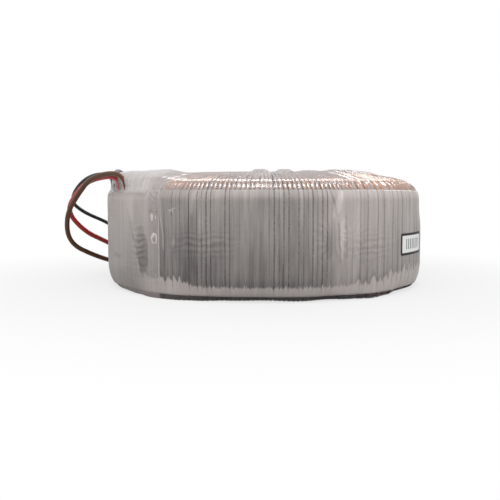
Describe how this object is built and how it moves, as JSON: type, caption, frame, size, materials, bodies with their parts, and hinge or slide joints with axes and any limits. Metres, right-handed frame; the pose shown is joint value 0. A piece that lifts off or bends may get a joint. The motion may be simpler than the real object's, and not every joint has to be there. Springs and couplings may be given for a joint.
{
  "type": "toroidal transformer",
  "caption": "Ring-shaped power transformer wound with copper under clear film, with short flying leads looping out of its shoulder.",
  "frame": {"origin": "centre of the underside, on the ring's axis", "axes": "+Z is the ring's axis and points up; -Y is the front, with the leads on the -X side and the label on the +X side"},
  "size_m": [0.1901, 0.1864, 0.0598],
  "materials": {
    "silicon_steel": "dull rolled strip edges",
    "cap_plastic": "moulded nylon",
    "core_tape": "polyester tape",
    "copper_wire": "enamelled copper",
    "barrier_film": "polyester film",
    "padding_film": "folded polyester film",
    "clear_film": "clear polyester film, wound in overlapping turns",
    "band_film": "clear polyester film several layers deep, hazy and creased",
    "clear_tape": "clear adhesive tape",
    "sleeve_plastic": "shrunk polyolefin",
    "solder": "dull solder",
    "tinned_wire": "tinned strands",
    "brown_pvc": "semi-gloss PVC",
    "red_pvc": "semi-gloss PVC",
    "black_pvc": "semi-gloss PVC",
    "blue_pvc": "semi-gloss PVC",
    "label_paper": "white vinyl with a black border"
  },
  "bodies": {
    "root": {"core": "silicon_steel", "core_cap_upper": "cap_plastic", "core_cap_lower": "cap_plastic", "core_wrap": "core_tape", "primary_winding": "copper_wire", "winding_barrier": "barrier_film", "secondary_winding": "copper_wire", "lead_padding": "padding_film", "outer_wrap": "clear_film", "side_band": "band_film", "finish_tape": "clear_tape", "label": "label_paper", "splice_brown": "solder", "splice_red": "solder", "splice_black": "solder", "splice_blue": "solder", "sleeve_brown": "sleeve_plastic", "sleeve_red": "sleeve_plastic", "sleeve_black": "sleeve_plastic", "sleeve_blue": "sleeve_plastic", "lead_brown": "brown_pvc", "lead_red": "red_pvc", "lead_black": "black_pvc", "lead_blue": "blue_pvc", "tinned_end_brown": "tinned_wire", "tinned_end_red": "tinned_wire", "tinned_end_black": "tinned_wire", "tinned_end_blue": "tinned_wire"}
  },
  "joints": []
}
